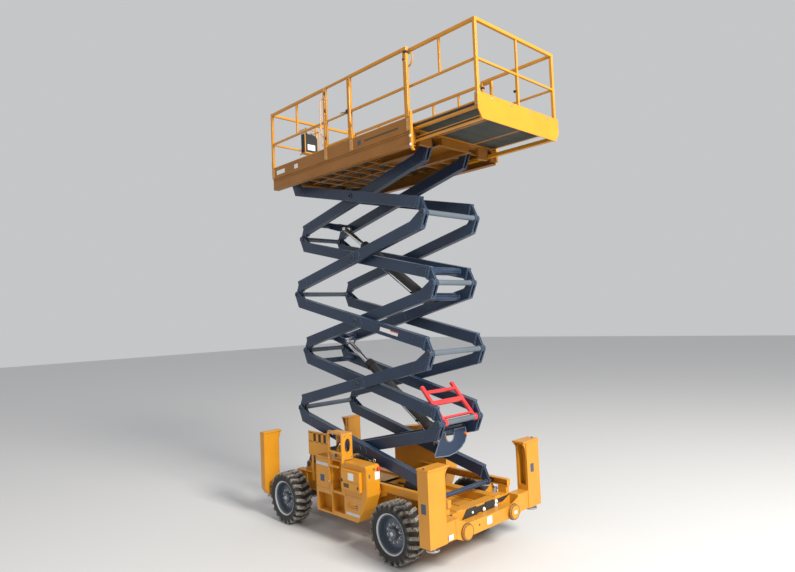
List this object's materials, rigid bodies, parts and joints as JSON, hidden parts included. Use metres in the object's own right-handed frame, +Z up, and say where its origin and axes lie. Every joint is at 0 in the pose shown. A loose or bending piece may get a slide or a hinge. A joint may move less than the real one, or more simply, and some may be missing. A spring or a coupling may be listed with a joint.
{
  "type": "rough-terrain scissor lift",
  "caption": "Four-wheel rough-terrain scissor lift with stacked crossing arms, lift cylinders, railed platform with roll-out deck, and corner jack legs.",
  "frame": {"origin": "under the middle of the machine at ground level", "axes": "+X towards the roll-out end, +Y to the far side, +Z up"},
  "size_m": [4.83, 2.357, 6.8127],
  "materials": {
    "arm_paint": "satin",
    "black_parts": "satin",
    "deck_paint": "satin",
    "pad_steel": "satin",
    "prop_red": "satin",
    "rim_paint": "satin",
    "rod_chrome": "satin",
    "tyre_rubber": "satin",
    "yellow_paint": "satin"
  },
  "bodies": {
    "chassis": {"chassis_frame": "yellow_paint", "front_axle": "black_parts", "rear_axle": "black_parts", "front_jack_beam": "yellow_paint", "rear_jack_beam": "yellow_paint", "locker_near": "yellow_paint", "locker_far": "yellow_paint", "boarding_steps": "yellow_paint", "front_jack_leg_near": "yellow_paint", "front_jack_leg_far": "yellow_paint", "rear_jack_leg_near": "yellow_paint", "rear_jack_leg_far": "yellow_paint", "front_bracket_near": "black_parts", "front_bracket_far": "black_parts"},
    "inner_1": {"inner_arms_1": "arm_paint"},
    "outer_1": {"outer_arms_1": "arm_paint"},
    "inner_2": {"inner_arms_2": "arm_paint"},
    "outer_2": {"outer_arms_2": "arm_paint"},
    "inner_3": {"inner_arms_3": "arm_paint"},
    "outer_3": {"outer_arms_3": "arm_paint"},
    "inner_4": {"inner_arms_4": "arm_paint"},
    "outer_4": {"outer_arms_4": "arm_paint"},
    "inner_5": {"inner_arms_5": "arm_paint"},
    "outer_5": {"outer_arms_5": "arm_paint"},
    "platform": {"platform_deck": "deck_paint", "guard_rail_rear": "yellow_paint", "guard_rail_near": "yellow_paint", "platform_control_box": "black_parts"},
    "roll_out": {"roll_out_deck": "yellow_paint", "roll_out_rail": "yellow_paint"},
    "gate": {"entry_gate": "yellow_paint"},
    "barrel_low": {"lift_barrel_low": "black_parts"},
    "rod_low": {"lift_rod_low": "rod_chrome"},
    "barrel_high": {"lift_barrel_high": "black_parts"},
    "rod_high": {"lift_rod_high": "rod_chrome"},
    "prop": {"safety_prop": "prop_red"},
    "knuckle_near": {"knuckle_near": "black_parts"},
    "wheel_front_near": {"rim_front_near": "rim_paint", "tyre_front_near": "tyre_rubber"},
    "wheel_rear_near": {"rim_rear_near": "rim_paint", "tyre_rear_near": "tyre_rubber"},
    "front_foot_near": {"front_foot_near": "pad_steel"},
    "rear_foot_near": {"rear_foot_near": "pad_steel"},
    "knuckle_far": {"knuckle_far": "black_parts"},
    "wheel_front_far": {"rim_front_far": "rim_paint", "tyre_front_far": "tyre_rubber"},
    "wheel_rear_far": {"rim_rear_far": "rim_paint", "tyre_rear_far": "tyre_rubber"},
    "front_foot_far": {"front_foot_far": "pad_steel"},
    "rear_foot_far": {"rear_foot_far": "pad_steel"},
    "control_cover": {"ground_control_cover": "yellow_paint"},
    "hood": {"engine_hood": "yellow_paint"}
  },
  "joints": [
    {"name": "lift", "type": "hinge", "parent": "chassis", "child": "inner_1", "pos_m": [-1.86631, 0, 0.866], "axis": [0, -1, 0], "range_deg": [-13, 32.4]},
    {"name": "stage_2_inner", "type": "hinge", "parent": "inner_1", "child": "inner_2", "pos_m": [1.15631, 0, 1.82135], "axis": [0, -1, 0], "range_deg": [-65.4, 26.6]},
    {"name": "stage_3_inner", "type": "hinge", "parent": "inner_2", "child": "inner_3", "pos_m": [-1.86631, 0, 2.7767], "axis": [0, -1, 0], "range_deg": [-26.6, 65.4]},
    {"name": "stage_4_inner", "type": "hinge", "parent": "inner_3", "child": "inner_4", "pos_m": [1.15631, 0, 3.73204], "axis": [0, -1, 0], "range_deg": [-65.4, 26.6]},
    {"name": "stage_5_inner", "type": "hinge", "parent": "inner_4", "child": "inner_5", "pos_m": [-1.86631, 0, 4.68739], "axis": [0, -1, 0], "range_deg": [-26.6, 65.4]},
    {"name": "stage_1_outer", "type": "hinge", "parent": "inner_1", "child": "outer_1", "pos_m": [-0.355, 0, 1.34367], "axis": [0, -1, 0], "range_deg": [-65.4, 26.6]},
    {"name": "stage_2_outer", "type": "hinge", "parent": "inner_2", "child": "outer_2", "pos_m": [-0.355, 0, 2.29902], "axis": [0, -1, 0], "range_deg": [-26.6, 65.4]},
    {"name": "stage_3_outer", "type": "hinge", "parent": "inner_3", "child": "outer_3", "pos_m": [-0.355, 0, 3.25437], "axis": [0, -1, 0], "range_deg": [-65.4, 26.6]},
    {"name": "stage_4_outer", "type": "hinge", "parent": "inner_4", "child": "outer_4", "pos_m": [-0.355, 0, 4.20972], "axis": [0, -1, 0], "range_deg": [-26.6, 65.4]},
    {"name": "stage_5_outer", "type": "hinge", "parent": "inner_5", "child": "outer_5", "pos_m": [-0.355, 0, 5.16507], "axis": [0, -1, 0], "range_deg": [-65.4, 26.6]},
    {"name": "platform_level", "type": "hinge", "parent": "outer_5", "child": "platform", "pos_m": [-1.86631, 0, 5.64274], "axis": [0, -1, 0], "range_deg": [-13.6, 33]},
    {"name": "roll_out", "type": "slide", "parent": "platform", "child": "roll_out", "axis": [1, 0, 0], "range_m": [-1.03, 0]},
    {"name": "gate", "type": "hinge", "parent": "platform", "child": "gate", "pos_m": [-0.4642, -0.894, 5.94274], "axis": [0, 0, 1], "range_deg": [0, 90]},
    {"name": "barrel_low", "type": "hinge", "parent": "inner_1", "child": "barrel_low", "pos_m": [0.66055, 0, 1.60173], "axis": [0, -1, 0], "range_deg": [-75.12, 30.5]},
    {"name": "rod_low", "type": "slide", "parent": "barrel_low", "child": "rod_low", "axis": [-0.8241, 0, 0.5664], "range_m": [-0.4388, 1.0788]},
    {"name": "barrel_high", "type": "hinge", "parent": "inner_3", "child": "barrel_high", "pos_m": [0.66055, 0, 3.51242], "axis": [0, -1, 0], "range_deg": [-75.12, 30.5]},
    {"name": "rod_high", "type": "slide", "parent": "barrel_high", "child": "rod_high", "axis": [-0.8241, 0, 0.5664], "range_m": [-0.4388, 1.0788]},
    {"name": "safety_prop", "type": "hinge", "parent": "inner_2", "child": "prop", "pos_m": [1.15631, 0, 1.82135], "axis": [0, -1, 0], "range_deg": [0, 12]},
    {"name": "steer_near", "type": "hinge", "parent": "chassis", "child": "knuckle_near", "pos_m": [0.685, -0.6, 0.41], "axis": [0, 0, 1], "range_deg": [-25, 25]},
    {"name": "wheel_front_near", "type": "hinge", "parent": "knuckle_near", "child": "wheel_front_near", "pos_m": [0.685, -0.831, 0.41], "axis": [0, 1, 0], "continuous": true},
    {"name": "wheel_rear_near", "type": "hinge", "parent": "chassis", "child": "wheel_rear_near", "pos_m": [-1.855, -0.831, 0.41], "axis": [0, 1, 0], "continuous": true},
    {"name": "jack_front_near", "type": "slide", "parent": "chassis", "child": "front_foot_near", "axis": [0, 0, -1], "range_m": [0, 0.43]},
    {"name": "jack_rear_near", "type": "slide", "parent": "chassis", "child": "rear_foot_near", "axis": [0, 0, -1], "range_m": [0, 0.335]},
    {"name": "steer_far", "type": "hinge", "parent": "chassis", "child": "knuckle_far", "pos_m": [0.685, 0.6, 0.41], "axis": [0, 0, 1], "range_deg": [-25, 25]},
    {"name": "wheel_front_far", "type": "hinge", "parent": "knuckle_far", "child": "wheel_front_far", "pos_m": [0.685, 0.831, 0.41], "axis": [0, 1, 0], "continuous": true},
    {"name": "wheel_rear_far", "type": "hinge", "parent": "chassis", "child": "wheel_rear_far", "pos_m": [-1.855, 0.831, 0.41], "axis": [0, 1, 0], "continuous": true},
    {"name": "jack_front_far", "type": "slide", "parent": "chassis", "child": "front_foot_far", "axis": [0, 0, -1], "range_m": [0, 0.43]},
    {"name": "jack_rear_far", "type": "slide", "parent": "chassis", "child": "rear_foot_far", "axis": [0, 0, -1], "range_m": [0, 0.335]},
    {"name": "control_cover", "type": "hinge", "parent": "chassis", "child": "control_cover", "pos_m": [-0.286, -0.9503, 0.99], "axis": [0, 0, -1], "range_deg": [0, 90]},
    {"name": "hood", "type": "hinge", "parent": "chassis", "child": "hood", "pos_m": [-0.355, 0.945, 1.2353], "axis": [-1, 0, 0], "range_deg": [0, 60]}
  ],
  "couplings": [
    {"joint": "stage_2_inner", "follows": "lift", "ratio": -2},
    {"joint": "stage_3_inner", "follows": "lift", "ratio": 2},
    {"joint": "stage_4_inner", "follows": "lift", "ratio": -2},
    {"joint": "stage_5_inner", "follows": "lift", "ratio": 2},
    {"joint": "stage_1_outer", "follows": "lift", "ratio": -2},
    {"joint": "stage_2_outer", "follows": "lift", "ratio": 2},
    {"joint": "stage_3_outer", "follows": "lift", "ratio": -2},
    {"joint": "stage_4_outer", "follows": "lift", "ratio": 2},
    {"joint": "stage_5_outer", "follows": "lift", "ratio": -2},
    {"joint": "platform_level", "follows": "lift", "ratio": 1},
    {"joint": "barrel_low", "follows": "lift", "ratio": -2.3},
    {"joint": "rod_low", "follows": "lift", "m_per_rad": 1.89},
    {"joint": "barrel_high", "follows": "lift", "ratio": -2.3},
    {"joint": "rod_high", "follows": "lift", "m_per_rad": 1.89},
    {"joint": "steer_far", "follows": "steer_near", "ratio": 1}
  ]
}
